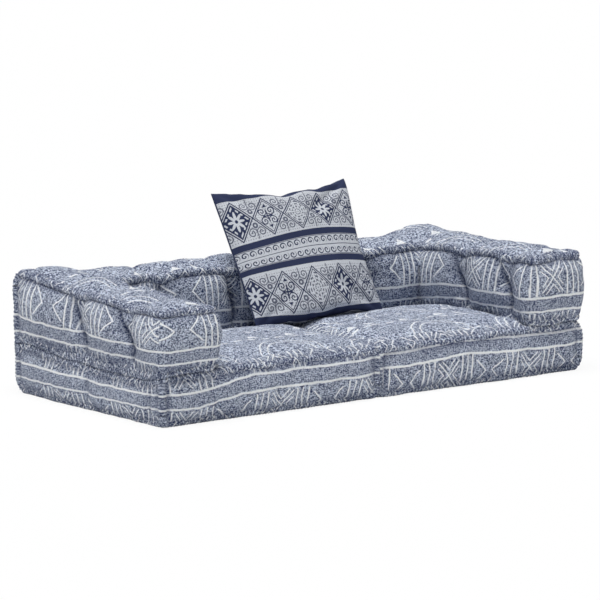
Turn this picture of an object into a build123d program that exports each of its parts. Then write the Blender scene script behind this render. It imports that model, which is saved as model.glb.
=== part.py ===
"""Low modular floor sofa: two mirrored corner modules side by side and a loose throw pillow.

Each module is a square seat mattress with an L-shaped mattress for its arm and back sewn on top.
Every mattress is a firm core in a wadded cover with padded rolls sewn along its edges, and ties
drawn through the arm and back pull the cover into deep tufts.

Units are millimetres, +Z is up and the front faces -Y. The origin is on the floor, under the middle
of the whole sofa. Pieces are modelled on the left module, and the right one's are mirrored.
"""
import os
from math import atan, cos, degrees, radians, sin, sqrt, tan

from build123d import *

# Modules
module_width = 800
module_depth = 740
module_gap = 0.6
seat_height = 155
backrest_height = 205
backrest_thickness = 200

# Sewn edges: a padded roll lies in a groove cut at 45 degrees along every edge
roll_radius = 12
groove_leg = 30
corner_cut = 25
inner_corner_cut = 16
corner_roll_radius = 9
corner_roll_sink = 12

# How far the covers swell between their edges, and are drawn in at ties and stitches
side_swell = 8
tuft_depth = 16
tuft_radius = 36
stitch_depth = 4
stitch_radius = 24
crease_sides = 10
seat_crown = 20
backrest_crown = 17
crown_margin = 3

# Tufts, from the seam between the modules and from the front of each arm
back_tufts = (133, 400)
left_arm_tufts = (165, 405)
right_arm_tufts = (110, 330)

# Cores and the ties that go through them
wadding_side = 23
wadding_flat = 30
core_fit = 0.5
tie_radius = 1.6
tie_hole_radius = 2.2
knot_radius = 4.5
knot_length = 6
knot_lift = 2.7
tie_sides = 6

# Throw pillow: a case of two panels with pointed corners round a fibre insert
pillow_width = 480
pillow_length = 430
pillow_front = 62
pillow_back = 27
pillow_ear = 13
pillow_lip = 3
pillow_lean = 31
pillow_x = 94
pillow_reach = 150
pillow_start = 6
pillow_panel = 1.6
pillow_seam = 4
insert_fit = 0.4
seat_clearance = 0.3
settling_steps = 5

# How much higher the curve that ends a swelling form would rise than the one along it, as a share
cross_share = 1.7

# A mattress's side from its middle up to its groove: shares of the way up and of the swell there
side_shares = ((0, 1), (0.3, 1), (0.7, 0.6), (1, 0))

left_edge = -module_gap / 2 - module_width
seam_edge = -module_gap / 2
front_edge = -module_depth / 2
back_edge = module_depth / 2
arm_face = left_edge + backrest_thickness
back_face = back_edge - backrest_thickness
up = Vector(0, 0, 1)
east = Vector(1, 0, 0)
north = Vector(0, 1, 0)


class Corner:
    """Corner of a mattress's outline, cut across by the same leg on both its sides."""

    def __init__(self, x, y, cut=corner_cut):
        self.at = Vector(x, y)
        self.cut = cut


def seat_corners():
    return [
        Corner(left_edge, front_edge),
        Corner(seam_edge, front_edge),
        Corner(seam_edge, back_edge),
        Corner(left_edge, back_edge),
    ]


def backrest_corners():
    return [
        Corner(left_edge, front_edge),
        Corner(arm_face, front_edge),
        Corner(arm_face, back_face, inner_corner_cut),
        Corner(seam_edge, back_face),
        Corner(seam_edge, back_edge),
        Corner(left_edge, back_edge),
    ]


def outline(corners, inset, z):
    """Points round a mattress at a height, with its corners cut and its sides moved inwards."""
    points = []
    for k, corner in enumerate(corners):
        before = (corner.at - corners[k - 1].at).normalized()
        after = (corners[(k + 1) % len(corners)].at - corner.at).normalized()
        turn = before.cross(after).Z
        leg = corner.cut + inset * tan(radians(22.5)) * turn
        for way, side in ((before, -1), (after, 1)):
            points.append(corner.at + way * leg * side - way.cross(up) * inset + up * z)
    return points


def joined(pieces):
    """Pieces fused one after the other."""
    whole = pieces[0]
    for piece in pieces[1:]:
        whole += piece
    return whole


def closed(points):
    return Face(Wire([Line(a, b) for a, b in zip(points, points[1:] + points[:1])]))


def padded_block(corners, bottom, height):
    """Mattress form: flat above and below, grooved along its edges, with sides that swell.

    The swell is cut off flat where the mattress is pressed against the other module.
    """
    middle, top = bottom + height / 2, bottom + height
    half_band = height / 2 - groove_leg
    levels = [(middle + half_band * rise, -side_swell * share) for rise, share in side_shares]
    levels.append((top, groove_leg))
    slices = []
    for (low, inset), (high, next_inset) in zip(levels, levels[1:]):
        taper = degrees(atan((next_inset - inset) / (high - low)))
        base = closed(outline(corners, inset, low))
        slices.append(extrude(base, high - low, dir=up, taper=taper))
    upper = joined(slices)
    lower = mirror(upper, Plane(Vector(0, 0, middle), z_dir=up))
    return split(upper + lower, Plane(Vector(seam_edge, 0, 0), z_dir=east), Keep.BOTTOM)


def lens_bar(plane, half, front, back, across, depth):
    """Bar with a lens section about the plane's origin, drawn out both ways by depth."""
    ends = [plane.from_local_coords(across * half * side) for side in (-1, 1)]
    crest = plane.from_local_coords(Vector(0, 0, front))
    dip = plane.from_local_coords(Vector(0, 0, -back))
    arcs = [ThreePointArc(ends[0], crest, ends[1]), ThreePointArc(ends[1], dip, ends[0])]
    return extrude(Face(Wire(arcs)), depth, both=True)


def swelling(plane, half_width, half_length, front, back):
    """Stuffed form on a rectangle of the plane: an upright lens that a fuller crosswise one ends."""
    upright = lens_bar(plane, half_length, front, back, north, half_width)
    rise, fall = front * cross_share, back * cross_share
    crosswise = lens_bar(plane, half_width, rise, fall, east, half_length)
    return upright & crosswise


def crown(start, way, width, length, rise):
    """Swelling top over one bay that starts at a point and runs one way, pinched at its ends."""
    plane = Plane(start + way * (length / 2), x_dir=way, z_dir=up)
    form = swelling(plane, length / 2, width / 2, rise, rise)
    return split(form, plane, Keep.TOP)


def seat_crowns():
    """Crown over the part of the seat that the arm and back leave free."""
    x0 = arm_face + crown_margin
    x1 = seam_edge - groove_leg
    y0 = front_edge + groove_leg
    y1 = back_face - crown_margin
    start = Vector(x0, (y0 + y1) / 2, seat_height)
    return [crown(start, east, y1 - y0, x1 - x0, seat_crown)]


def leg_crowns(start, way, length, tufts):
    """Crowns along one leg of the backrest, with a valley between them at each tuft."""
    width = backrest_thickness - 2 * groove_leg
    valleys = [groove_leg, *tufts, length - groove_leg]
    bays = zip(valleys, valleys[1:])
    return [crown(start + way * a, way, width, b - a, backrest_crown) for a, b in bays]


def backrest_crowns(arm_tufts):
    """Crowns over the back and the arm, which run into each other at the corner."""
    top = seat_height + backrest_height
    half = backrest_thickness / 2
    back = leg_crowns(Vector(seam_edge, back_edge - half, top), -east, module_width, back_tufts)
    arm = leg_crowns(Vector(left_edge + half, front_edge, top), north, module_depth, arm_tufts)
    return back + arm


def crease(place, out, height, depth, radius):
    """Cutter for a crease that fades out towards the rolls above and below a tuft or stitch."""
    centre = place + out * (radius - depth)
    section = Plane(centre, x_dir=out) * RegularPolygon(radius, crease_sides)
    taper = degrees(atan((depth + side_swell) / (height / 2)))
    upper = extrude(section, height / 2, dir=up, taper=taper)
    return upper + mirror(upper, Plane(centre, z_dir=up))


def seat_creases():
    z = seat_height / 2
    x = (left_edge + seam_edge) / 2
    places = (
        (Vector(x, front_edge, z), -north),
        (Vector(x, back_edge, z), north),
        (Vector(left_edge, 0, z), -east),
    )
    height = seat_height - 2 * groove_leg
    return [crease(place, out, height, stitch_depth, stitch_radius) for place, out in places]


def tie_places(arm_tufts):
    """Where each tie enters on the outer side of the arm or back, and which way it goes."""
    z = seat_height + backrest_height / 2
    arm = [(Vector(left_edge, front_edge + t, z), east) for t in arm_tufts]
    back = [(Vector(seam_edge - t, back_edge, z), -north) for t in back_tufts]
    return arm + back


def backrest_creases(arm_tufts):
    """Creases where each tie draws in both sides of the arm or back."""
    height = backrest_height - 2 * groove_leg
    cutters = []
    for place, way in tie_places(arm_tufts):
        inner = place + way * backrest_thickness
        cutters.append(crease(place, -way, height, tuft_depth, tuft_radius))
        cutters.append(crease(inner, way, height, tuft_depth, tuft_radius))
    return cutters


def core(corners, bottom, height, fit):
    """Firm core: a straight block with cut corners inside the wadding."""
    low = bottom + wadding_flat - fit
    base = closed(outline(corners, wadding_side - fit, low))
    return extrude(base, height - 2 * (wadding_flat - fit), dir=up)


def roll_section(centre, out, facing):
    """Round section of a padded roll, flat where it lies on the 45 degree groove."""
    seat = (up * facing - out).normalized()
    along = (up * facing + out).normalized()
    depth = (groove_leg - 2 * roll_radius) / sqrt(2)
    half = sqrt(roll_radius**2 - depth**2)
    a = centre + seat * depth - along * half
    b = centre + seat * depth + along * half
    arc = ThreePointArc(a, centre - seat * roll_radius, b)
    return Face(Wire([arc, Line(b, a)]))


def edge_roll(corners, z, facing):
    """Padded roll round a mattress, in straight runs mitred at each turn.

    facing is 1 where the mattress is above the roll and -1 where it is below.
    """
    points = outline(corners, roll_radius, z)
    runs = []
    for k, (a, b) in enumerate(zip(points, points[1:] + points[:1])):
        way = (b - a).normalized()
        before = (a - points[k - 1]).normalized()
        after = (points[(k + 2) % len(points)] - b).normalized()
        section = roll_section(a - way * groove_leg, way.cross(up), facing)
        run = extrude(section, (b - a).length + 2 * groove_leg, dir=way)
        run = split(run, Plane(a, z_dir=way + before), Keep.TOP)
        runs.append(split(run, Plane(b, z_dir=way + after), Keep.BOTTOM))
    return joined(runs)


def corner_post(corner, inward, bottom, height):
    """Round post that the padded roll on an upright corner fills."""
    reach = corner.cut / sqrt(2) + corner_roll_sink - corner_roll_radius
    start = corner.at + inward.normalized() * reach + up * (bottom + roll_radius)
    return Solid.make_cylinder(corner_roll_radius, height - 2 * roll_radius, Plane(start))


def rod(start, way, length, radius):
    section = Plane(start, z_dir=way) * RegularPolygon(radius, tie_sides)
    return extrude(section, length, dir=way)


def tie(place, way):
    """Twine through the backrest from one tuft to the other, with a knot at each end."""
    depth = tuft_depth - knot_lift - knot_length
    start = place + way * depth
    length = backrest_thickness - 2 * depth
    near = rod(start, way, knot_length, knot_radius)
    far = rod(start + way * (length - knot_length), way, knot_length, knot_radius)
    return rod(start, way, length, tie_radius) + near + far


def mattress(name, corners, bottom, height, crowns, creases, posts):
    """The pieces that a seat and a backrest both have, by node name."""
    top_roll = edge_roll(corners, bottom + height - roll_radius, -1)
    bottom_roll = edge_roll(corners, bottom + roll_radius, 1)
    block = joined([padded_block(corners, bottom, height), *crowns])
    cavity = core(corners, bottom, height, core_fit)
    return {
        name + "_cover": block - creases - cavity - posts - top_roll - bottom_roll,
        name + "_core": core(corners, bottom, height, 0),
        name + "_top_roll": top_roll,
        name + "_bottom_roll": bottom_roll,
        name + "_corner_rolls": [post - top_roll - bottom_roll for post in posts],
    }


def seat(side_name):
    corners = seat_corners()
    inwards = (east + north, north - east, -east - north, east - north)
    posts = [corner_post(c, way, 0, seat_height) for c, way in zip(corners, inwards)]
    name = side_name + "_seat"
    return mattress(name, corners, 0, seat_height, seat_crowns(), seat_creases(), posts)


def backrest(side_name, arm_tufts):
    """Arm and back of a module in one L, with a padded roll up its outer back corner."""
    name = side_name + "_backrest"
    corners = backrest_corners()
    posts = [corner_post(corners[-1], east - north, seat_height, backrest_height)]
    crowns, creases = backrest_crowns(arm_tufts), backrest_creases(arm_tufts)
    pieces = mattress(name, corners, seat_height, backrest_height, crowns, creases, posts)
    places = tie_places(arm_tufts)
    holes = [rod(place, way, backrest_thickness, tie_hole_radius) for place, way in places]
    pieces[name + "_cover"] -= holes
    pieces[name + "_core"] -= holes
    pieces[name + "_tuft_ties"] = [tie(*place) for place in places]
    return pieces


def module(side_name, arm_tufts):
    return {**seat(side_name), **backrest(side_name, arm_tufts)}


def solids_of(shape):
    pieces = shape if isinstance(shape, (list, tuple)) else [shape]
    return [solid for piece in pieces for solid in piece.solids()]


def mirrored(nodes):
    return {n: [mirror(s, Plane.YZ) for s in solids_of(shape)] for n, shape in nodes.items()}


def pillow_plane():
    """Plane of the pillow's seam: across the sofa, and up along the pillow as it leans back."""
    lean = radians(pillow_lean)
    foot = (pillow_x, back_face - pillow_reach, seat_height + seat_crown + pillow_start)
    return Plane(foot, x_dir=(1, 0, 0), z_dir=(0, -cos(lean), sin(lean)))


def pillow_body(inset, front, back):
    """Stuffed part of the pillow."""
    plane = pillow_plane()
    middle = plane.from_local_coords(Vector(0, pillow_length / 2, 0))
    centred = Plane(middle, x_dir=plane.x_dir, z_dir=plane.z_dir)
    half_width = pillow_width / 2 - pillow_ear - inset
    half_length = pillow_length / 2 - pillow_ear - inset
    return swelling(centred, half_width, half_length, front, back)


def pillow_lips():
    """Thin sewn edge with pointed corners, drawn in between them."""
    plane = pillow_plane()
    w, h, ear = pillow_width / 2, pillow_length, pillow_ear
    corners = [(-w, 0), (w, 0), (w, h), (-w, h)]
    crests = [(0, ear), (w - ear, h / 2), (0, h - ear), (ear - w, h / 2)]
    places = [plane.from_local_coords(Vector(*p, 0)) for p in corners]
    middles = [plane.from_local_coords(Vector(*p, 0)) for p in crests]
    after = places[1:] + places[:1]
    edges = [ThreePointArc(a, m, b) for a, m, b in zip(places, middles, after)]
    return extrude(Face(Wire(edges)), pillow_lip / 2, both=True)


def pillow():
    """Throw pillow: printed front panel, plain back panel and a fibre insert."""
    front, back = pillow_front - pillow_panel, pillow_back - pillow_panel
    fit = insert_fit
    whole = pillow_body(0, pillow_front, pillow_back) + pillow_lips()
    case = whole - pillow_body(pillow_seam, front, back)
    return {
        "pillow_front_panel": split(case, pillow_plane(), Keep.TOP),
        "pillow_back_panel": split(case, pillow_plane(), Keep.BOTTOM),
        "pillow_insert": pillow_body(pillow_seam + fit, front - fit, back - fit),
    }


def settled(pieces, supports, way):
    """Pieces moved one way until only the seat clearance is left between them and the supports."""
    for _ in range(settling_steps):
        case = [solid for shape in pieces.values() for solid in solids_of(shape)]
        gap = Compound(case).distance_to(Compound(supports))
        step = Pos(way * (gap - seat_clearance))
        pieces = {n: [step * s for s in solids_of(shape)] for n, shape in pieces.items()}
    return pieces


def write(nodes):
    os.makedirs("parts", exist_ok=True)
    for name, shape in nodes.items():
        solids = solids_of(shape)
        whole = solids[0] if len(solids) == 1 else Compound(solids)
        export_step(whole, os.path.join("parts", name + ".step"))


def main():
    left = module("left", left_arm_tufts)
    right = mirrored(module("right", right_arm_tufts))
    seats = solids_of([*solids_of(left["left_seat_cover"]), *right["right_seat_cover"]])
    rolls = [*solids_of(left["left_backrest_top_roll"]), *right["right_backrest_top_roll"]]
    throw = pillow()
    for supports, way in ((seats, -up), (rolls, north), (seats + rolls, -up)):
        throw = settled(throw, supports, way)
    write({**left, **right, **throw})


if __name__ == "__main__":
    main()
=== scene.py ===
"""Dresses the floor sofa: stuffed covers, sewn rolls, a throw pillow, woven patterns and a studio."""
from math import cos, pi, radians, sin
from typing import NamedTuple

import bmesh
import bpy
import numpy as np
from bpy.props import FloatProperty, FloatVectorProperty, IntProperty, PointerProperty
from bpy.types import Operator, Panel, PropertyGroup
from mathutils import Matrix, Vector


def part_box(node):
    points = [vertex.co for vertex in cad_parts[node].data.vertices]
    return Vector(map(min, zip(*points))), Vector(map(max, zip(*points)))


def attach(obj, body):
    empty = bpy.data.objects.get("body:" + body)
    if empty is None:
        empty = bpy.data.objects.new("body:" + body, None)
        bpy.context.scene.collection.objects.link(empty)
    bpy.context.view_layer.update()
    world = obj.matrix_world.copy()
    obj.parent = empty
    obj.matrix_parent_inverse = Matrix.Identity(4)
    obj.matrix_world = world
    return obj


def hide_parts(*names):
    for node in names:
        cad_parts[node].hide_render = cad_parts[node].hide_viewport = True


bl_info = {
    "name": "Floor sofa",
    "version": (1, 0, 0),
    "blender": (4, 5, 0),
    "location": "View3D > Sidebar > Floor sofa",
    "description": "Stuffed modular floor sofa with padded rolls, a throw pillow and woven patterns",
    "category": "Add Mesh",
}

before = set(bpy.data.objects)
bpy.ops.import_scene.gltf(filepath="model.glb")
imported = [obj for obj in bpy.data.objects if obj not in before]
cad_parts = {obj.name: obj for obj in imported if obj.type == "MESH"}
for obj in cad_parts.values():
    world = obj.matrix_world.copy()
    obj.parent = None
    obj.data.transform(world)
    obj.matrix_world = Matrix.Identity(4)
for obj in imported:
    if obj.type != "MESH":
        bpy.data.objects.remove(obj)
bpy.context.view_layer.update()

SIDES = ("left", "right")
SIGN = {"left": -1, "right": 1}

# Heights and plan edges of a module, read from its rolls
floor_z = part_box("left_seat_bottom_roll")[0].z
joint_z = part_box("left_seat_top_roll")[1].z
top_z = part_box("left_backrest_top_roll")[1].z
module_low, module_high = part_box("right_seat_top_roll")
inner_x, outer_x = module_low.x, module_high.x
front_y, back_y = module_low.y, module_high.y


def length(name, default, description):
    return FloatProperty(name=name, default=default, unit="LENGTH", description=description)


def colour(name, default, description):
    return FloatVectorProperty(
        name=name, default=default, size=3, subtype="COLOR", min=0, max=1, description=description
    )


class PaddingSizes(PropertyGroup):
    thickness: length("Arm and back thickness", 0.2, "Thickness of the arm and back")
    corner_cut: length("Corner cut", 0.016, "Leg of the cut across an upright corner")
    low_groove: length("Low groove", 0.0165, "Leg of the groove where seat and backrest meet")
    high_groove: length("High groove", 0.026, "Leg of the groove that the upper roll lies in")
    floor_groove: length("Floor groove", 0.019, "Leg of the groove that the lowest roll lies in")
    side_swell: length("Side swell", 0.01, "How far the sides swell")
    bay_swell: length("Bay swell", 0.008, "How much further the bays between ties swell")
    seat_crown: length("Seat crown", 0.023, "How far the seat rises in its middle")
    back_crown: length("Backrest crown", 0.011, "How far the tops of arm and back rise")
    tuft_depth: length("Tuft depth", 0.02, "How deep the ties draw in the sides")
    tuft_width: length("Tuft width", 0.03, "Distance over which a tuft's crease fades")
    slit_depth: length("Slit depth", 0.023, "How much deeper the fold in a crease is")
    slit_width: length("Slit width", 0.0065, "Distance over which the fold in a crease fades")
    tuft_pull: length("Tuft pull", 0.011, "How far ties draw the upper edges down and in")
    pucker: length("Pucker", 0.0024, "Height of the puckers beside a roll")
    overlap: length("Overlap", 0.034, "How far the side's pattern reaches over onto a seat")
    seat_voxel: length("Seat face", 0.0085, "Size of a seat's faces before they are subdivided")
    back_voxel: length("Backrest face", 0.0076, "Size of a backrest's faces before they are subdivided")
    slack: FloatProperty(
        name="Slack", default=0.035, subtype="FACTOR", description="Spare cloth in the covers"
    )
    pressure: FloatProperty(name="Pressure", default=3.5, description="Pressure of the stuffing")
    cap: length("Cap", 0.011, "Furthest that stuffing moves the cloth")


class RollSizes(PropertyGroup):
    radius: length("Radius", 0.0132, "Radius of a padded roll")
    inset: length("Inset", 0.0115, "Depth of a roll's middle inside the edge")
    joint_inset: length("Joint inset", 0.0105, "The same for the two rolls where seat and backrest meet")
    turn: length("Corner turn", 0.006, "Leg of a roll's rounding at a corner")
    post_radius: length("Corner roll radius", 0.0125, "Radius of an upright roll")
    post_inset: length("Corner roll inset", 0.003, "Depth of an upright roll's middle inside the corner")
    pitch: length("Whip pitch", 0.0115, "Distance between whip stitches")
    bite: FloatProperty(
        name="Bite", default=0.2, subtype="FACTOR", description="Share of the radius a stitch bites"
    )


class PillowSizes(PropertyGroup):
    width: length("Width", 0.515, "Flat width of the case")
    height: length("Height", 0.465, "Flat height of the case")
    slope: length("Slope", 0.456, "Height of the stuffed case along its lean, tip to tip")
    spread: length("Spread", 0.5, "Width of the stuffed case, tip to tip")
    front: length("Front", 0.066, "How far the front rises from the seam")
    back: length("Back", 0.03, "How far the back rises from the seam")
    lean: FloatProperty(
        name="Lean", default=radians(31), unit="ROTATION", description="Lean back from upright"
    )
    cells: IntProperty(name="Cells", default=52, description="Faces along a side before subdivision")
    pressure: FloatProperty(name="Pressure", default=1.5, description="Pressure of the filling")
    stiffness: FloatProperty(name="Stiffness", default=60, description="How little the case stretches")
    frames: IntProperty(name="Frames", default=30, description="Frames that the filling is given")


class ClothColours(PropertyGroup):
    light: colour("Light thread", (0.66, 0.72, 0.84), "Light thread of the heather")
    dark: colour("Dark thread", (0.034, 0.05, 0.125), "Dark thread of the heather")
    line: colour("Line", (0.97, 0.985, 1.0), "Woven white lines and motifs")
    navy: colour("Pillow navy", (0.007, 0.016, 0.068), "Dark print of the pillow")
    pale: colour("Pillow pale", (0.74, 0.77, 0.82), "Pale ground of the pillow")


class StageSizes(PropertyGroup):
    azimuth: FloatProperty(
        name="Azimuth", default=radians(-37.76), unit="ROTATION", description="View round the sofa"
    )
    elevation: FloatProperty(
        name="Elevation", default=radians(9.23), unit="ROTATION", description="View above level"
    )
    distance: length("Distance", 13.97, "Distance from the camera to the point it looks at")
    lens: FloatProperty(name="Lens", default=284.5, subtype="DISTANCE_CAMERA", description="Focal length")
    look_at: FloatVectorProperty(
        name="Look at", default=(-0.297, -0.37, 0.328), subtype="XYZ", description="Point looked at"
    )


def props():
    return bpy.context.scene


class Pattern(NamedTuple):
    """Pattern of a mattress's side panels."""

    lines: tuple  # heights of the two woven lines
    rows: tuple  # height and half height of each row of motifs
    shifts: tuple  # where a motif falls on each panel
    period: float  # distance from motif to motif
    light: float  # share of light threads
    thin: tuple = ()  # heights of thin lines


PATTERNS = {
    "left_seat": Pattern(
        (0.078, 0.124), ((0.024, 0.046), (0.184, 0.056)), (0.1, 0.25, 0.083, 0.15), 0.347, 0.56
    ),
    "right_seat": Pattern(
        (0.089, 0.13), ((0.034, 0.052), (0.19, 0.056)), (0.263, 0.2, 0.1, 0.15), 0.323, 0.46
    ),
    "left_backrest": Pattern(
        (0.19, 0.235), ((0.297, 0.058), (0.137, 0.052)), (0.09, 0.1, 0.2, 0.367, 0.235, 0.05), 0.35, 0.52
    ),
    "right_backrest": Pattern(
        (0.198, 0.24), ((0.296, 0.052), (0.142, 0.05)), (0.07, 0.1, 0.2, 0.1, 0.61, 0.34), 0.35, 0.47,
        (0.348,),
    ),
}

# Where ties draw in each module's arm and back: distances from the seam and from the front
BACK_TUFTS = (0.133, 0.4)
ARM_TUFTS = {"left": (0.165, 0.405), "right": (0.11, 0.33)}

# Least distances of cloth from the floor or the seam, and from a firm core
GAP = 0.0004
CORE_GAP = 0.002
# How far the joint of seat and backrest has sunk at the left arm and along the backs, how far the
# tops of arms and backs have sunk or risen, and how uneven the whole has become
JOINT_DIP = 0.029
JOINT_SAG = 0.019
ARM_SAG = 0.019
ARM_RISE = 0.012
BACK_SAG = 0.009
UNEVEN = 0.0035
# Heights of the wrinkles that covers have all over, and how flat the seat's crown is in its middle
WRINKLE = 0.0018
CROWN_POWER = 2.6
# Distances from a roll within which cloth is sewn down, and beyond which it is free
SEWN, FREE = 0.024, 0.034
# Depth of a crease at which the painted shade in it is darkest
FOLD_OF_DARKEST_SHADE = 0.032
# Where sewing, tufts and the seam hold the cloth while it is stuffed: distances from each
POST_HELD = 0.02
TUFT_HELD = 0.014
TUFT_REACH = 0.13
SEAM_HELD = 0.006
FLOOR_HELD = 0.01
# Parts that a roll's points are taken in when their nearest ring is looked for, to save memory
CHUNKS = 40
# Notches in the pillow's upper edge: place across it, depth and width
NOTCHES = ((-0.01, 0.016, 0.05), (0.13, 0.009, 0.03), (-0.12, 0.005, 0.03))
# How far the pillow's lower edge sags in its middle, and again beside the seam
PILLOW_FALL = 0.014
PILLOW_CAP = 0.12
# Where the stuffed pillow lies from the part's: right, behind and down its lean
PILLOW_RIGHT = 0.015
PILLOW_BEHIND = 0.001
PILLOW_DOWN = 0.43
# How far the pillow's filling lies inside its case
FILLING_GAP = 0.003
# Distance between a roll's rings of points
RING_STEP = 0.0032
# U at which each further panel's pattern starts, more than any panel is long
PANEL_STEP = 10


def smooth(x, low, high):
    """0 below low, 1 above high and a smooth rise between them."""
    t = np.clip((x - low) / (high - low), 0, 1)
    return t * t * (3 - 2 * t)


def bell(x, middle, width):
    return np.exp(-(((x - middle) / width) ** 2))


def pinch(x, middle, width):
    """Sharp crease that fades out to both sides."""
    return np.exp(-np.abs(x - middle) / width)


def ripple(a, b, seed):
    """Quiet unevenness between about -1 and 1, the same each run."""
    total = np.zeros_like(a)
    for k, (fa, fb) in enumerate(((1.0, 0.7), (0.6, -1.3), (1.7, 0.9), (-1.1, 1.9))):
        total = total + np.sin(fa * a + fb * b + seed * (k + 1.3)) / (1 + 0.4 * k)
    return total / 2.2


def settle(points):
    """Moves points of the nominal sofa to where sitting and stuffing have left them."""
    p = points.copy()
    x, y, z = p[:, 0].copy(), p[:, 1].copy(), p[:, 2].copy()
    arm_left = 1 - smooth(x, -0.62, -0.46)
    arm_right = smooth(x, 0.5, 0.64)
    to_front = 1 - smooth(y, -0.33, 0.2)
    at_front = 1 - 0.45 * bell(y, -0.37, 0.05)
    joint = -JOINT_DIP * bell(x, -0.83, 0.085) * (1 - smooth(y, -0.05, 0.37)) * at_front
    joint = joint + UNEVEN * ripple(x * 24, y * 24, 1.0)
    backs = smooth(y, 0.0, 0.17) * (1 - smooth(np.abs(x), 0.58, 0.68))
    top = -ARM_SAG * arm_left * to_front + ARM_RISE * arm_right * to_front - BACK_SAG * backs
    far = bell(y, 0.37, 0.1)
    peaks = 0.012 * bell(x, 0.8, 0.1) * far + 0.014 * bell(x, -0.8, 0.12) * far
    top = top + peaks + UNEVEN * ripple(x * 17, y * 17, 4.0)
    pull = np.zeros_like(x)
    sizes = props().padding
    for tuft in tufts_near(points, "left") + tufts_near(points, "right"):
        tied = smooth(z, joint_z + 0.03, top_z - 0.04) * (np.abs(tuft.aside) < sizes.thickness * 0.62)
        drawn = bell(tuft.line, 0, 0.032) * tied
        p[:, tuft.axis] -= sizes.tuft_pull * drawn * tuft.aside / sizes.thickness * 2
        pull = np.maximum(pull, drawn)
    low = np.clip((z - floor_z) / (joint_z - floor_z), 0, 1)
    high = np.clip((z - joint_z) / (top_z - joint_z), 0, None)
    p[:, 2] = z + joint * np.where(z < joint_z, low, 1 - np.clip(high * 6.6, 0, 1)) + top * high
    p[:, 2] -= JOINT_SAG * backs * np.where(z < joint_z, low, 1 - np.clip(high, 0, 1))
    p[:, 2] -= sizes.tuft_pull * pull
    edge = smooth(np.abs(x), 0.06, 0.2)
    p[:, 0] += UNEVEN * ripple(y * 15, z * 11, 2.0) * edge
    p[:, 1] += UNEVEN * ripple(x * 14, z * 12, 3.0)
    p[:, 2] = np.maximum(p[:, 2], floor_z + GAP)
    return p


def link(obj):
    bpy.context.scene.collection.objects.link(obj)
    return obj


def new_object(name, bm):
    mesh = bpy.data.meshes.new(name)
    bm.to_mesh(mesh)
    bm.free()
    return link(bpy.data.objects.new(name, mesh))


def applied(obj):
    """The object with its modifiers made part of its mesh."""
    graph = bpy.context.evaluated_depsgraph_get()
    graph.update()
    mesh = bpy.data.meshes.new_from_object(
        obj.evaluated_get(graph), preserve_all_data_layers=True, depsgraph=graph
    )
    old = obj.data
    obj.modifiers.clear()
    obj.data = mesh
    bpy.data.meshes.remove(old)
    return obj


def finer(obj):
    """The object with each of its faces divided into four."""
    smoothing = obj.modifiers.new("Finer", "SUBSURF")
    smoothing.levels = smoothing.render_levels = 1
    return applied(obj)


def read(items, key, kind=float, width=1):
    """One property of a mesh's items, as an array with a row for each."""
    values = np.empty(len(items) * width, dtype=kind)
    items.foreach_get(key, values)
    return values.reshape(-1, width) if width > 1 else values


def places(obj):
    return read(obj.data.vertices, "co", width=3)


def place(obj, points):
    obj.data.vertices.foreach_set("co", points.ravel())
    obj.data.update()


def vertex_normals(obj):
    return read(obj.data.vertex_normals, "vector", np.float32, 3).astype(float)


def loop_places(obj):
    """Where the vertex of each face corner is."""
    return places(obj)[read(obj.data.loops, "vertex_index", np.int32)]


def lay_uv(obj, u, v):
    layer = obj.data.uv_layers.new(name="Cloth")
    layer.data.foreach_set("uv", np.column_stack([u, v]).ravel().astype(np.float32))


def keep(obj, name, values):
    """Keeps a number for each vertex as an attribute that materials read."""
    layer = obj.data.attributes.new(name, "FLOAT", "POINT")
    layer.data.foreach_set("value", values.astype(np.float32))


def shade_smooth(obj):
    obj.data.polygons.foreach_set("use_smooth", [True] * len(obj.data.polygons))


class Panels:
    """Upright panels round a mattress: where each starts, which way it runs and how long it is."""

    def __init__(self, corners):
        self.corners = [Vector(c) for c in corners]
        following = self.corners[1:] + self.corners[:1]
        self.lengths = [(b - a).length for a, b in zip(self.corners, following)]
        self.ways = [(b - a).normalized() for a, b in zip(self.corners, following)]
        self.outs = [Vector((way.y, -way.x)) for way in self.ways]
        rows = (self.corners, self.ways, self.outs)
        self.rows = [np.array([tuple(vector) for vector in vectors]) for vectors in rows]

    def along_and_inside(self, points, index):
        """Distances of points along and inside the panel that each belongs to."""
        starts, ways, outs = (row[index] for row in self.rows)
        gap = points[:, :2] - starts
        return (gap * ways).sum(axis=1), -(gap * outs).sum(axis=1)

    def nearest(self, points):
        """Index of the panel nearest each point, and the distance along it."""
        gaps, runs = [], []
        for start, way, out, size in zip(self.corners, self.ways, self.outs, self.lengths):
            dx, dy = points[:, 0] - start.x, points[:, 1] - start.y
            run = dx * way.x + dy * way.y
            off = np.abs(dx * out.x + dy * out.y)
            beyond = np.maximum(0, np.maximum(-run, run - size))
            gaps.append(np.hypot(off, beyond))
            runs.append(run)
        index = np.argmin(gaps, axis=0)
        return index, np.choose(index, runs)


def mirrored(corners, side):
    """Corners of the right module as they are, and of the left one turned over."""
    if side == "right":
        return corners
    return [(-x, y) for x, y in reversed(corners)]


def seat_corners(side):
    return mirrored(
        [(inner_x, front_y), (outer_x, front_y), (outer_x, back_y), (inner_x, back_y)], side
    )


def backrest_corners(side):
    """Corners of the L, anticlockwise, its inner corner among them."""
    t = props().padding.thickness
    return mirrored(
        [
            (outer_x - t, front_y),
            (outer_x, front_y),
            (outer_x, back_y),
            (inner_x, back_y),
            (inner_x, back_y - t),
            (outer_x - t, back_y - t),
        ],
        side,
    )


def on_rim(edge, height):
    """Whether an edge lies level at a height and borders an upright face."""
    off = abs(edge.verts[0].co.z - height) + abs(edge.verts[1].co.z - height)
    return off < 1e-4 and min(abs(face.normal.z) for face in edge.link_faces) < 0.5


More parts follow.
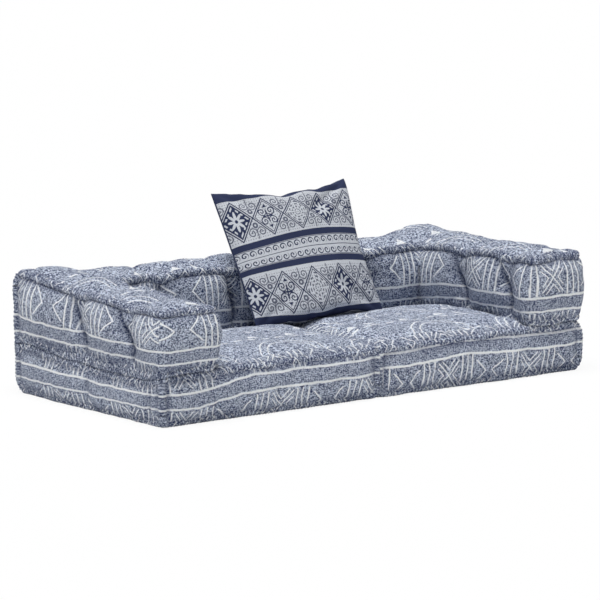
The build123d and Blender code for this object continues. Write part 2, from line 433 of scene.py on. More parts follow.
def block(name, corners, low, high, grooves, voxel):
    """Mattress form with grooves along its edges, as faces of one even size."""
    sizes = props().padding
    bm = bmesh.new()
    ring = [bm.verts.new((x, y, low)) for x, y in corners]
    base = bm.faces.new(ring)
    solid = bmesh.ops.extrude_face_region(bm, geom=[base])
    tops = [v for v in solid["geom"] if isinstance(v, bmesh.types.BMVert)]
    bmesh.ops.translate(bm, verts=tops, vec=(0, 0, high - low))
    upright = [e for e in bm.edges if abs(e.verts[0].co.z - e.verts[1].co.z) > 0.01]
    bmesh.ops.bevel(
        bm, geom=upright, offset=sizes.corner_cut, affect="EDGES", segments=3, profile=0.5, material=-1
    )
    for height, groove in zip((low, high), grooves):
        rim = [e for e in bm.edges if on_rim(e, height)]
        bmesh.ops.bevel(bm, geom=rim, offset=groove, affect="EDGES", segments=1, profile=0.5, material=-1)
    bmesh.ops.recalc_face_normals(bm, faces=bm.faces)
    obj = new_object(name, bm)
    remesh = obj.modifiers.new("Even faces", "REMESH")
    remesh.mode = "VOXEL"
    remesh.voxel_size = voxel
    return applied(obj)


def drift(name, panel, run):
    """How much lower the woven lines lie than level, by panel and distance along it."""
    if name == "left_seat_padding":
        outer = 0.025 - 0.0125 * smooth(run, 0, 0.42) + 0.006 * smooth(run, 0.62, 0.74)
        front = (0.0185 + 0.007 * smooth(run, 0, 0.06)) * (1 - smooth(run, 0.1, 0.36))
        return np.select([panel == 1, panel == 2], [outer, front], 0)
    if name == "right_seat_padding":
        return np.where(panel == 0, -0.011 * bell(run, 0.32, 0.16), 0)
    return np.zeros_like(run)


def swallowed(name, panel, run):
    """Cloth that has gone into the creases before a place along a panel."""
    if name != "right_backrest_padding":
        return 0
    return np.where(panel == 5, 0.052 * smooth(run, 0.18, 0.23) + 0.027 * smooth(run, 0.41, 0.45), 0)


def lay_pattern(obj, panels, high, overlap):
    """UV in metres: round the sides and up, or across the top. Sides and tops get a slot each."""
    faces = obj.data.polygons
    centres = read(faces, "center", width=3)
    index, _ = panels.nearest(centres)
    _, inward = panels.along_and_inside(centres, index)
    flat = np.abs(read(faces, "normal", np.float32, 3)[:, 2]) > 0.75
    level = flat & (inward > overlap)
    owner = np.repeat(np.arange(len(faces)), read(faces, "loop_total", np.int32))
    points = loop_places(obj)
    panel = index[owner]
    along, inward = panels.along_and_inside(points, panel)
    over = points[:, 2] + np.maximum(inward, 0) * smooth(points[:, 2], high - 0.03, high - 0.001)
    side_v = over + drift(obj.name, panel, along)
    round_u = along + swallowed(obj.name, panel, along) + PANEL_STEP * panel
    u = np.where(level[owner], points[:, 0], round_u)
    v = np.where(level[owner], points[:, 1], side_v)
    lay_uv(obj, u, v)
    faces.foreach_set("material_index", level.astype(np.int32))


def from_post(points, posts):
    """Distance to the nearest upright roll."""
    return np.min([np.hypot(points[:, 0] - x, points[:, 1] - y) for x, y in posts], axis=0)


def from_rolls(points, panels, low, high):
    """Nearest panel, distances along it and from its upper or lower edge, and distance from a roll."""
    index, run = panels.nearest(points)
    _, inward = panels.along_and_inside(points, index)
    rise = np.minimum(points[:, 2] - low, high - points[:, 2])
    return index, run, rise, np.maximum(np.abs(inward), rise)


class Tuft(NamedTuple):
    """A tie's middle and axis, and where points lie from it."""

    x: float
    y: float
    z: float
    axis: int  # the way the tie runs: 0 along X through an arm, 1 along Y through a back
    line: np.ndarray  # distances beside it along the panel
    aside: np.ndarray  # distances the way it runs


def tufts_near(points, side):
    """A module's ties: those of its arm, then those of its back."""
    half = props().padding.thickness / 2
    z = (joint_z + top_z) / 2
    sign = SIGN[side]
    arm = [(sign * (outer_x - half), front_y + t, z, 0) for t in ARM_TUFTS[side]]
    back = [(sign * (inner_x + t), back_y - half, z, 1) for t in BACK_TUFTS]
    found = []
    for x, y, z, axis in arm + back:
        gaps = points[:, 0] - x, points[:, 1] - y
        found.append(Tuft(x, y, z, axis, gaps[1 - axis], gaps[axis]))
    return found


def face_shares(points, normals, low, high):
    """Height between -1 and 1, and how much each point belongs to a side or to the top."""
    half = (high - low) / 2
    up = (points[:, 2] - low - half) / half
    side_face = 1 - smooth(np.abs(normals[:, 2]), 0.35, 0.8)
    return up, side_face, smooth(normals[:, 2], 0.5, 0.9)


def pad_backrest(points, normals, side, post_gap):
    """Swell of the arm and back, with creases at the ties and valleys over them."""
    sizes = props().padding
    x, y, z = points.T
    up, side_face, top_face = face_shares(points, normals, joint_z, top_z)
    t = sizes.thickness
    across_arm = np.abs(np.abs(x) - (outer_x - t / 2)) / (t / 2 - sizes.high_groove)
    across_back = np.abs(y - (back_y - t / 2)) / (t / 2 - sizes.high_groove)
    in_arm = 1 - smooth(across_arm, 1.0, 1.2)
    in_back = 1 - smooth(across_back, 1.0, 1.2)
    dome = np.maximum(
        in_arm * np.clip(1 - across_arm**2, 0, 1), in_back * np.clip(1 - across_back**2, 0, 1)
    )
    bays = np.ones_like(x)
    bulge = np.ones_like(x)
    crease = np.zeros_like(x)
    for tuft in tufts_near(points, side):
        line = tuft.line
        only = np.where(np.abs(tuft.aside) < t * 0.56, 1.0, 0.0)
        lean = (0.5, -0.25)[tuft.axis] * np.maximum(z - tuft.z + 0.01, -0.03)
        bend = line + (0.005 * np.sin(z * 40 + tuft.x * 9 + tuft.y * 7) - lean) * side_face
        width = sizes.tuft_width * (0.7 + 0.7 * np.abs(up + 0.1))
        deep = 0.45 + 0.55 * bell(up, -0.1, 0.45)
        fold = sizes.tuft_depth * pinch(bend, 0, width) + sizes.slit_depth * bell(bend, 0, sizes.slit_width)
        crease = np.maximum(crease, only * fold * deep)
        bays = bays * (1 - 0.9 * only * pinch(line, 0, 0.04))
        bulge = bulge * (1 - only * bell(line, 0, 0.06))
    fade = np.clip(1 - up**2 * 1.1, 0, 1)
    swell = (sizes.side_swell + sizes.bay_swell * bulge) * fade * (0.2 + 0.8 * smooth(post_gap, 0, 0.09))
    amount = side_face * (swell - crease * np.clip(1.1 - up**4, 0, 1))
    amount = amount + top_face * (sizes.back_crown * dome * bays - 0.004)
    ends = smooth(np.abs(x), inner_x, inner_x + 0.09)
    return amount * ends + WRINKLE * ripple(x * 52, y * 52 + z * 35, 5.0 + SIGN[side]), crease


def pad_seat(points, normals, side, post_gap):
    """Swell of the seat, crowned where the arm and back leave it free."""
    sizes = props().padding
    x, y, z = points.T
    up, side_face, top_face = face_shares(points, normals, floor_z, joint_z)
    ends = smooth(np.abs(x), inner_x, inner_x + 0.07)
    amount = sizes.side_swell * side_face * np.clip(1 - up**2 * 1.15, 0, 1) * ends
    amount = amount * (0.4 + 0.6 * smooth(post_gap, 0, 0.09))
    free_x = (np.abs(x) - inner_x) / (outer_x - sizes.thickness - inner_x)
    free_y = (y - front_y) / (back_y - sizes.thickness - front_y)
    over, free = 1, 1
    for share in (free_x, free_y):
        over = over * np.clip(1 - np.abs(2 * np.clip(share, 0, 1) - 1) ** CROWN_POWER, 0, 1)
        free = free * smooth(-np.abs(share - 0.5), -0.56, -0.46)
    crown = sizes.seat_crown * np.sqrt(over) * (1 + 0.16 * ripple(x * 13, y * 15, 6.0)) * free
    amount = amount + top_face * crown
    dents = np.zeros_like(x)
    middle = SIGN[side] * (inner_x + outer_x) / 2
    for tx, ty in ((SIGN[side] * outer_x, 0.0), (SIGN[side] * outer_x, -0.31), (middle, back_y)):
        line = np.hypot(x - tx, y - ty) + 0.02 * up * np.sin(z * 60)
        fold = 0.008 * pinch(line, 0, 0.02) + 0.009 * bell(line, 0, sizes.slit_width)
        dents = np.maximum(dents, side_face * fold * np.clip(1.1 - np.abs(up), 0, 1))
    amount = amount - dents
    wrinkle = WRINKLE * ripple(x * 50, y * 50 + z * 30, 9.0 + SIGN[side])
    return amount + wrinkle * (0.3 + 0.7 * free), dents


def inflate(obj, held, pressure, slack, cap, stiffness=15, frames=20):
    """Lets stuffing press the cloth out between where it is held, and applies the result."""
    start = places(obj)
    group = obj.vertex_groups.new(name="Held")
    for weight in (0.25, 0.5, 0.75, 1.0):
        chosen = np.nonzero(np.abs(held - weight) <= 0.125)[0]
        if len(chosen):
            group.add(chosen.tolist(), weight, "REPLACE")
    cloth = obj.modifiers.new("Cloth", "CLOTH")
    settings = cloth.settings
    settings.quality = 5
    settings.mass = 0.3
    settings.tension_stiffness = stiffness
    settings.compression_stiffness = stiffness
    settings.shear_stiffness = 5
    settings.bending_stiffness = 0.5
    settings.use_pressure = True
    settings.uniform_pressure_force = pressure
    settings.vertex_group_mass = group.name
    settings.pin_stiffness = 10
    settings.shrink_min = -slack
    settings.shrink_max = -slack
    settings.effector_weights.gravity = 0
    cloth.collision_settings.use_collision = False
    cloth.point_cache.frame_start = 1
    cloth.point_cache.frame_end = frames
    scene = bpy.context.scene
    for number in range(1, frames + 1):
        scene.frame_set(number)
    applied(obj)
    scene.frame_set(1)
    moved = places(obj) - start
    size = np.linalg.norm(moved, axis=1)
    limit = np.minimum(1, cap / np.maximum(size, 1e-9))
    place(obj, start + moved * limit[:, None])
    obj.vertex_groups.clear()


def puckered(obj, panels, low, high):
    """Short gathers beside the rolls, where the stitching draws the cloth up."""
    points = places(obj)
    index, run, rise, reach = from_rolls(points, panels, low, high)
    off_seam = smooth(np.abs(points[:, 0]), inner_x + 0.004, inner_x + 0.03)
    fade = np.exp(-np.maximum(reach - 0.018, 0) / 0.02) * off_seam
    lean = run + 0.35 * rise * np.sin(run * 9 + index)
    wave = np.sin(lean * 240 + 2.2 * np.sin(lean * 37 + index) + 1.3 * index)
    uneven = 0.6 + 0.4 * ripple(run * 19, rise * 9, 7.0)
    away = props().padding.pucker * wave * fade * uneven
    place(obj, points + vertex_normals(obj) * away[:, None])


def keep_outside(points, core, tufted):
    """Moves points that have sunk into a firm core back to its surface."""
    low, high = (np.array(v) for v in core)
    boxes = [(low, high)]
    if tufted:  # an L, as one box in the arm and one in the back
        rim = low[1] - front_y
        wide = props().padding.thickness - 2 * rim
        arm_low, arm_high = low.copy(), high.copy()
        if high[0] > 0:
            arm_low[0] = high[0] - wide
        else:
            arm_high[0] = low[0] + wide
        back_low = low.copy()
        back_low[1] = high[1] - wide
        boxes = [(arm_low, arm_high), (back_low, high)]
    for low, high in boxes:
        low, high = low - CORE_GAP, high + CORE_GAP
        depth = np.column_stack([points - low, high - points])
        sunk = np.nonzero((depth > 0).all(axis=1))[0]
        face = depth[sunk].argmin(axis=1)
        axis = face % 3
        points[sunk, axis] = np.where(face < 3, low[axis], high[axis])
    return points


def settled(obj, side):
    """Points of a module's piece where use has left them, on their own side of the seam."""
    points = settle(places(obj))
    sign = SIGN[side]
    points[:, 0] = sign * np.maximum(sign * points[:, 0], inner_x + GAP)
    return points


def at_outer_back(corner):
    """Whether a corner is a module's outer back one, whose upright roll runs over both mattresses."""
    return abs(corner[0]) > outer_x - 0.01 and corner[1] > 0


def cover(name, side, corners, low, high):
    """Stuffed cover of one mattress. The one that stands on the other is tufted."""
    sizes = props().padding
    tufted = low > floor_z
    if tufted:
        pad, grooves, voxel, overlap = (
            pad_backrest, (sizes.low_groove, sizes.high_groove), sizes.back_voxel, 0
        )
    else:
        pad, grooves, voxel, overlap = (
            pad_seat, (sizes.floor_groove, sizes.low_groove), sizes.seat_voxel, sizes.overlap
        )
    obj = block(name + "_padding", corners, low, high, grooves, voxel)
    panels = Panels(corners)
    lay_pattern(obj, panels, high, overlap)
    points = places(obj)
    normals = vertex_normals(obj)
    posts = [corner for corner in corners if not tufted or at_outer_back(corner)]
    post_gap = from_post(points, posts)
    sewn = 1 - smooth(from_rolls(points, panels, low, high)[-1], SEWN, FREE)
    held = np.maximum(sewn, 1 - smooth(post_gap, POST_HELD, FREE))
    away, fold_shade = pad(points, normals, side, post_gap)
    place(obj, points + normals * away[:, None])
    # Painted shade, kept as the fold attribute: darkest in deep creases, and half as dark where the cloth
    # is sewn beside a roll, less so on level faces
    beside = 0.5 * held * (1 - smooth(np.abs(normals[:, 2]), 0.8, 0.95) * 0.6)
    keep(obj, "fold", np.clip(np.maximum(fold_shade / FOLD_OF_DARKEST_SHADE, beside), 0, 1))
    resting = (np.abs(normals[:, 2]) > 0.8) & (points[:, 2] < low + FLOOR_HELD)
    held = np.maximum(held, np.where(resting, 1.0, 0.0))
    pressed = np.abs(points[:, 0]) < inner_x + SEAM_HELD
    held = np.maximum(held, np.where(pressed, 1.0, 0.0))
    for tuft in tufts_near(points, side) if tufted else ():
        tied = np.hypot(tuft.line, (points[:, 2] - tuft.z) * 0.4) < TUFT_HELD
        held = np.maximum(held, np.where(tied & (np.abs(tuft.aside) < TUFT_REACH), 1.0, 0.0))
    inflate(obj, held, sizes.pressure, sizes.slack, sizes.cap)
    finer(obj)
    puckered(obj, panels, low, high)
    place(obj, keep_outside(settled(obj, side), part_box(name + "_core"), tufted))
    shade_smooth(obj)
    return obj


def rounded_path(corners, cut, step):
    """Points every step or so round a mattress, its corners rounded."""
    points = [Vector(c) for c in corners]
    count = len(points)
    ring = []
    for k in range(count):
        before, at, after = points[k - 1], points[k], points[(k + 1) % count]
        start = at + (before - at).normalized() * cut
        end = at + (after - at).normalized() * cut
        ring.append((start, at, end))
    path = []
    for k, (start, at, end) in enumerate(ring):
        for t in np.linspace(0, 1, 8):
            path.append(start * (1 - t) ** 2 + at * 2 * t * (1 - t) + end * t**2)
        path.append(ring[(k + 1) % count][0])
    flat = np.array([tuple(p) for p in path])
    gaps = np.linalg.norm(np.diff(np.vstack([flat, flat[:1]]), axis=0), axis=1)
    flat = flat[gaps > 1e-6]
    closed = np.vstack([flat, flat[:1]])
    run = np.concatenate([[0], np.cumsum(np.linalg.norm(np.diff(closed, axis=0), axis=1))])
    samples = np.linspace(0, run[-1], max(8, int(run[-1] / step)), endpoint=False)
    return np.column_stack([np.interp(samples, run, closed[:, a]) for a in (0, 1)])


def tube(name, path, radius, closed):
    """Round tube along points, made by a bevelled curve."""
    curve = bpy.data.curves.new(name, "CURVE")
    curve.dimensions = "3D"
    curve.bevel_depth = radius
    curve.bevel_resolution = 4
    curve.use_fill_caps = not closed
    curve.twist_mode = "Z_UP"
    spline = curve.splines.new("POLY")
    spline.points.add(len(path) - 1)
    spline.points.foreach_set("co", np.column_stack([path, np.ones(len(path))]).ravel())
    spline.use_cyclic_u = closed
    holder = link(bpy.data.objects.new(name, curve))
    graph = bpy.context.evaluated_depsgraph_get()
    mesh = bpy.data.meshes.new_from_object(holder.evaluated_get(graph), depsgraph=graph)
    bpy.data.objects.remove(holder)
    bm = bmesh.new()
    bm.from_mesh(mesh)
    bmesh.ops.remove_doubles(bm, verts=bm.verts, dist=1e-5)
    bmesh.ops.recalc_face_normals(bm, faces=bm.faces)
    bpy.data.meshes.remove(mesh)
    return new_object(name, bm)


def whip(obj, path, seed, bite):
    """Ribs where whip stitches bite into a roll. Stitches and distance are kept as attributes."""
    sizes = props().rolls
    points = places(obj)
    index = np.empty(len(points), dtype=int)
    for chunk in np.array_split(np.arange(len(points)), CHUNKS):
        gaps = ((points[chunk][:, None, :] - path[None, :, :]) ** 2).sum(axis=2)
        index[chunk] = gaps.argmin(axis=1)
    steps = np.linalg.norm(np.diff(path, axis=0), axis=1)
    run = np.concatenate([[0], np.cumsum(steps)])[index]
    middle = path[index]
    phase = run / sizes.pitch + 0.35 * np.sin(run * 23 + seed)
    depth = bite * (0.7 + 0.5 * ripple(run * 21, run * 8, seed)) * np.abs(np.cos(pi * phase)) ** 6
    lump = 0.1 * ripple(run * 34, run * 15, seed)
    slip = np.column_stack([ripple(run * 40, run * 9, seed + k) for k in (1, 2, 3)]) * 0.0016
    place(obj, middle + (points - middle) * (1 + lump - depth)[:, None] + slip)
    keep(obj, "stitch", phase)
    keep(obj, "run", run)


def edge_roll(name, side, corners, z, facing):
    """Padded roll round one edge of a mattress."""
    sizes = props().rolls
    panels = Panels(corners)
    depth = sizes.joint_inset if z == joint_z else sizes.inset
    inset = []
    for k, corner in enumerate(panels.corners):
        before, after = panels.outs[k - 1], panels.outs[k]
        inset.append(tuple(corner - (before + after) * depth / (1 + before.dot(after))))
    flat = rounded_path(inset, sizes.turn, RING_STEP)
    path = np.column_stack([flat, np.full(len(flat), z + facing * sizes.inset)])
    obj = tube(name, path, sizes.radius, True)
    whip(obj, path, len(name) + 3.1 * SIGN[side], sizes.bite * (0.6 if facing < 0 else 1.3))
    finish_roll(obj, side)
    return obj


def finish_roll(obj, side):
    place(obj, settled(obj, side))
    shade_smooth(obj)


def corner_rolls(name, side, corners, low, high, panels, cover_name):
    """Upright padded rolls on some corners of a mattress, as one piece."""
    sizes = props().rolls
    parts = []
    for k, (x, y, ix, iy) in enumerate(corners):
        runs_on = at_outer_back((x, y))
        start = low if runs_on and low > floor_z else low + sizes.inset
        end = high if runs_on and high < top_z else high - sizes.inset
        heights = np.arange(start, end, RING_STEP)
        ends = np.minimum(heights - low, high - heights)
        ends = np.where(runs_on & (np.abs(heights - joint_z) < 0.05), 1.0, ends)
        reach = sizes.post_inset + 0.006 * (1 - smooth(ends, 0.012, 0.04))
        path = np.column_stack([x + ix * reach, y + iy * reach, heights])
        part = tube(name + str(k), path, sizes.post_radius, False)
        whip(part, path, 2.0 * k + 1, sizes.bite * 1.3)
        parts.append(part)
    whole = join(name, parts)
    points = loop_places(whole)
    v = points[:, 2] + drift(cover_name, *panels.nearest(points))
    lay_uv(whole, points[:, 0] + points[:, 1], v)
    finish_roll(whole, side)
    return whole


def join(name, parts):
    bm = bmesh.new()
    for part in parts:
        bm.from_mesh(part.data)
    for part in parts:
        bpy.data.objects.remove(part)
    return new_object(name, bm)


def fill(node, **values):
    """Sets values on a node's inputs, whose names have _ for a space here."""
    for name, value in values.items():
        node.inputs[name.replace("_", " ")].default_value = value


class Sum:
    """A number in a material. Sums on it add nodes to the material's tree."""

    def __init__(self, tree, socket):
        self.tree = tree
        self.socket = socket

    def math(self, operation, *others):
        node = self.tree.nodes.new("ShaderNodeMath")
        node.operation = operation
        for k, other in enumerate((self, *others)):
            if isinstance(other, Sum):
                self.tree.links.new(other.socket, node.inputs[k])
            else:
                node.inputs[k].default_value = other
        return Sum(self.tree, node.outputs[0])

    def __add__(self, other):
        return self.math("ADD", other)

    def __sub__(self, other):
        return self.math("SUBTRACT", other)

    def __mul__(self, other):
        return self.math("MULTIPLY", other)

    def __abs__(self):
        return self.math("ABSOLUTE")

    def fold(self, size):
        """Up and down between 0 and a size."""
        return self.math("PINGPONG", size)

    def wrap(self, size):
        """Within half a size each side of the nearest whole repeat."""
        return (self + size / 2).math("FLOORED_MODULO", size) - size / 2

    def below(self, limit, soft=0.0008):
        """1 below a limit and 0 above it, with a soft edge."""
        node = self.tree.nodes.new("ShaderNodeMapRange")
        node.interpolation_type = "SMOOTHSTEP"
        self.tree.links.new(self.socket, node.inputs["Value"])
        fill(node, From_Min=limit - soft, From_Max=limit + soft, To_Min=1, To_Max=0)
        return Sum(self.tree, node.outputs["Result"])

    def above(self, limit, soft=0.0008):
        return self.below(limit, soft).rest()

    def at(self, value, half, soft=0.0008):
        """1 on a line where the number is near a value."""
        return abs(self - value).below(half, soft)

    def rest(self):
        """What is left of 1."""
        return self * -1 + 1

    def most(self, other):
        return self.math("MAXIMUM", other)

    def least(self, other):
        return self.math("MINIMUM", other)


def most(*sums):
    total = sums[0]
    for other in sums[1:]:
        total = total.most(other)
    return total


class Cloth:
    """Material of one cloth, and the numbers that its pattern is drawn with."""

    def __init__(self, name, uv=True):
        self.material = bpy.data.materials.new(name)
        self.material.use_nodes = True
        self.tree = self.material.node_tree
        self.nodes, self.links = self.tree.nodes, self.tree.links
        self.shader = self.nodes["Principled BSDF"]
        fill(self.shader, Roughness=0.92, Specular_IOR_Level=0.15, Sheen_Weight=0.08)
        self.place = self.nodes.new("ShaderNodeTexCoord").outputs["Object"]
        if uv:
            layer = self.nodes.new("ShaderNodeUVMap")
            layer.uv_map = "Cloth"
            split = self.nodes.new("ShaderNodeSeparateXYZ")
            self.links.new(layer.outputs["UV"], split.inputs[0])
            self.u = Sum(self.tree, split.outputs["X"])
            self.v = Sum(self.tree, split.outputs["Y"])

    def layer(self, name):
        """Number that the mesh keeps as an attribute."""
        node = self.nodes.new("ShaderNodeAttribute")
        node.attribute_name = name
        return Sum(self.tree, node.outputs["Fac"])

    def bites(self, half):
        """1 where whip stitches bite into a roll."""
        return abs(abs(self.layer("stitch").wrap(1.0)) - 0.5).below(half, 0.08)

    def noise(self, scale, detail=2.0, roughness=0.5, stretch=(1, 1, 1)):
        node = self.nodes.new("ShaderNodeTexNoise")
        fill(node, Scale=scale, Detail=detail, Roughness=roughness)
        source = self.place
        if stretch != (1, 1, 1):
            mapping = self.nodes.new("ShaderNodeMapping")
            fill(mapping, Scale=stretch)
            self.links.new(source, mapping.inputs["Vector"])
            source = mapping.outputs["Vector"]
        self.links.new(source, node.inputs["Vector"])
        return Sum(self.tree, node.outputs["Fac"])

    def wobble(self, size, scale):
        """Pulls the pattern's numbers about a little, as hand work does."""
        node = self.nodes.new("ShaderNodeTexNoise")
        fill(node, Scale=scale, Detail=1)
        self.links.new(self.place, node.inputs["Vector"])
        split = self.nodes.new("ShaderNodeSeparateColor")
        self.links.new(node.outputs["Color"], split.inputs[0])
        self.u = self.u + (Sum(self.tree, split.outputs[0]) - 0.5) * size
        self.v = self.v + (Sum(self.tree, split.outputs[1]) - 0.5) * size

    def mix(self, share, first, second):
        node = self.nodes.new("ShaderNodeMix")
        node.data_type = "RGBA"
        self.links.new(share.socket, node.inputs["Factor"])
        for key, value in (("A", first), ("B", second)):
            socket = [s for s in node.inputs if s.name == key and s.type == "RGBA"][0]
            if hasattr(value, "is_output"):
                self.links.new(value, socket)
            else:
                socket.default_value = (*value, 1)
        return [s for s in node.outputs if s.type == "RGBA"][0]

    def heather(self, light, dark, size=0.004, bias=0.5, contrast=13.0):
        """Mix of dark and light threads in a coarse slubby weave, and the share of light ones."""
        grain = self.noise(1 / size, 3, 0.7)
        slub = self.noise(0.5 / size, 1, 0.6, (1, 1, 2.6))
        cloud = self.noise(11, 2, 0.6)
        share = (grain - 0.5) * contrast + (slub - 0.5) * contrast * 0.3 + (cloud - 0.5) * 0.7 + bias
        return self.mix(share, dark, light), share.least(1.0).most(0.0)

    def colour(self, socket):
        self.links.new(socket, self.shader.inputs["Base Color"])

    def bump(self, height, strength, distance):
        node = self.nodes.new("ShaderNodeBump")
        fill(node, Strength=strength, Distance=distance)
        self.links.new(height.socket, node.inputs["Height"])
        self.links.new(node.outputs["Normal"], self.shader.inputs["Normal"])


def motifs(u, v, centre, half, period):
    """Row of crossed squares, bars and arrows, repeated round the cloth."""
    along = abs(u.wrap(period))
    up = abs(v - centre)
    apart = abs(along * 1.04 - up)
    crossed = most(apart.below(0.0028), apart.at(0.0185, 0.0024)) * along.below(0.04) * up.below(0.046)
    bars = (along - 0.0535).fold(0.0108).below(0.0025) * along.above(0.05) * along.below(0.1015)
    bars = bars * up.below(half)
    arrows = (along + up * 1.07).at(0.147, 0.0032) * up.below(half * 0.66) * along.above(0.1)
    return most(crossed, bars, arrows)


def bands(v, lines, half=0.0034):
    """White lines that run round the mattress."""
    return most(*[v.at(height, half) for height in lines])


def panel_run(cloth, shifts):
    """Distance along the panel, shifted for each panel so that its motifs fall in place."""
    index = (cloth.u * (1 / PANEL_STEP) + 0.3).math("FLOOR")
    run = cloth.u - index * PANEL_STEP
    for k, shift in enumerate(shifts):
        run = run - index.at(k, 0.5, 0.01) * shift
    return run


def weave(cloth, wide, high):
    """Plain basket weave of the bands between the lines."""
    across = cloth.u.fold(wide / 2).below(wide / 4, wide / 5)
    return across * cloth.v.fold(high / 2).below(high / 4, high / 5)


def side_cloth(name, pattern, rib_shade=0.0):
    """Side panels: rows of motifs with plain woven bands between white lines."""
    colours = props().colours
    cloth = Cloth(name)
    cloth.wobble(0.006, 18)
    cloth.wobble(0.0028, 230)
    run = panel_run(cloth, pattern.shifts)
    ground, grain = cloth.heather(colours.light, colours.dark, bias=pattern.light)
    plain = cloth.v.above(pattern.lines[0]) * cloth.v.below(pattern.lines[1])
    coarse = weave(cloth, 0.0075, 0.0055)
    woven = cloth.mix(coarse * 0.4 + grain * 0.8 - 0.04, colours.dark, colours.light)
    ground = cloth.mix(plain, ground, woven)
    marks = bands(cloth.v, pattern.lines)
    for centre, half in pattern.rows:
        marks = marks.most(motifs(run, cloth.v, centre, half, pattern.period) * plain.rest())
    if pattern.thin:
        marks = most(marks, bands(cloth.v, pattern.thin, 0.0018))
    worn = (cloth.noise(380, 1, 0.5) * 1.7 + 0.35).least(1.0)
    # Painted shade: darkens the ground and dims the white marks in deep creases and beside the rolls
    fold_shade = cloth.layer("fold")
    ground = cloth.mix((fold_shade * 0.9).least(0.75), ground, colours.dark)
    marks = marks * (fold_shade * -0.9 + 1).most(0.15)
    # Painted shade in the grooves where whip stitches bite into a corner roll
    if rib_shade:
        ground = cloth.mix(cloth.bites(0.12) * rib_shade, ground, colours.dark)
    cloth.colour(cloth.mix(marks * worn, ground, colours.line))
    threads = weave(cloth, 0.0026, 0.0026)
    cloth.bump(grain * 0.5 + threads * 0.35 + marks * 0.5 + cloth.noise(90, 2) * 0.8, 0.6, 0.0022)
    return cloth.material


def top_cloth(name, shift_x, shift_y, crowded):
    """Tops: long arcs, rows of small triangles and rows of dashes."""
    colours = props().colours
    cloth = Cloth(name)
    cloth.wobble(0.024, 6)
    cloth.wobble(0.004, 160)
    u = (cloth.u + shift_x).wrap(0.34)
    v = (cloth.v + shift_y).wrap(0.27)
    ground, grain = cloth.heather(colours.light, colours.dark, size=0.0048, bias=0.58)
    reach = (u * u + v * v * 0.8).math("SQRT")
    arcs = most(reach.at(0.122, 0.0022), reach.at(0.098, 0.0022)) * v.above(-0.01)
    far = v + 0.093
    dashes = far.at(0.0, 0.0042) * u.fold(0.026).below(0.015)
    small = (v - 0.035).at(0.0, 0.003) * (u + 0.02).fold(0.019).below(0.006)
    tu = (u + 0.03).wrap(0.137)
    tip = most(abs(tu) * 1.35 + far - 0.043, far * -1 + 0.026)
    again = (abs((u - 0.02).wrap(0.16)) * 1.1 + abs(v - 0.02) - 0.011).most(0.0)
    marks = most(dashes, small * crowded, tip.below(0.006, 0.001), again.below(0.0015, 0.001) * crowded)
    marks = most(marks, arcs)
    worn = (cloth.noise(300, 1, 0.5) * 1.3 + 0.15).least(1.0)
    cloth.colour(cloth.mix(marks * worn, ground, colours.line))
    cloth.bump(grain * 0.5 + marks * 0.4 + cloth.noise(80, 2) * 0.9, 0.6, 0.0024)
    return cloth.material


def roll_cloth():
    """Cloth of the rolls, with painted shade where whip stitches bite into it, and strokes of cut motifs.
    """
    colours = props().colours
    cloth = Cloth("Roll cloth", uv=False)
    run = cloth.layer("run")
    split = cloth.nodes.new("ShaderNodeSeparateXYZ")
    cloth.links.new(cloth.place, split.inputs[0])
    height = Sum(cloth.tree, split.outputs["Z"])
    ground, grain = cloth.heather(colours.light, colours.dark, bias=0.36)
    # Painted shade in the grooves where whip stitches bite
    shaded = cloth.mix(cloth.bites(0.11) * 0.85, ground, colours.dark)
    rising = (run + height * 0.9).fold(0.0105).below(0.0021) * cloth.noise(34, 0).above(0.6, 0.02)
    falling = (run - height * 0.9).fold(0.0115).below(0.0021) * cloth.noise(29, 0).below(0.4, 0.02)
    cloth.colour(cloth.mix(most(rising, falling) * 0.85, shaded, colours.line))
    cloth.bump(grain * 0.7, 0.6, 0.002)
    return cloth.material


def plain_cloth(name, light, dark, size):
    cloth = Cloth(name, uv=False)
    ground, grain = cloth.heather(light, dark, size)
    cloth.colour(ground)
    cloth.bump(grain, 0.4, 0.001)
    return cloth.material


def spiral(across, rise, turns, size):
    """Scroll wound round a point."""
    reach = (across * across + rise * rise).math("SQRT")
    angle = rise.math("ARCTAN2", across)
    return (reach * turns + angle).math("SINE").above(0.3, 0.3) * reach.below(size)


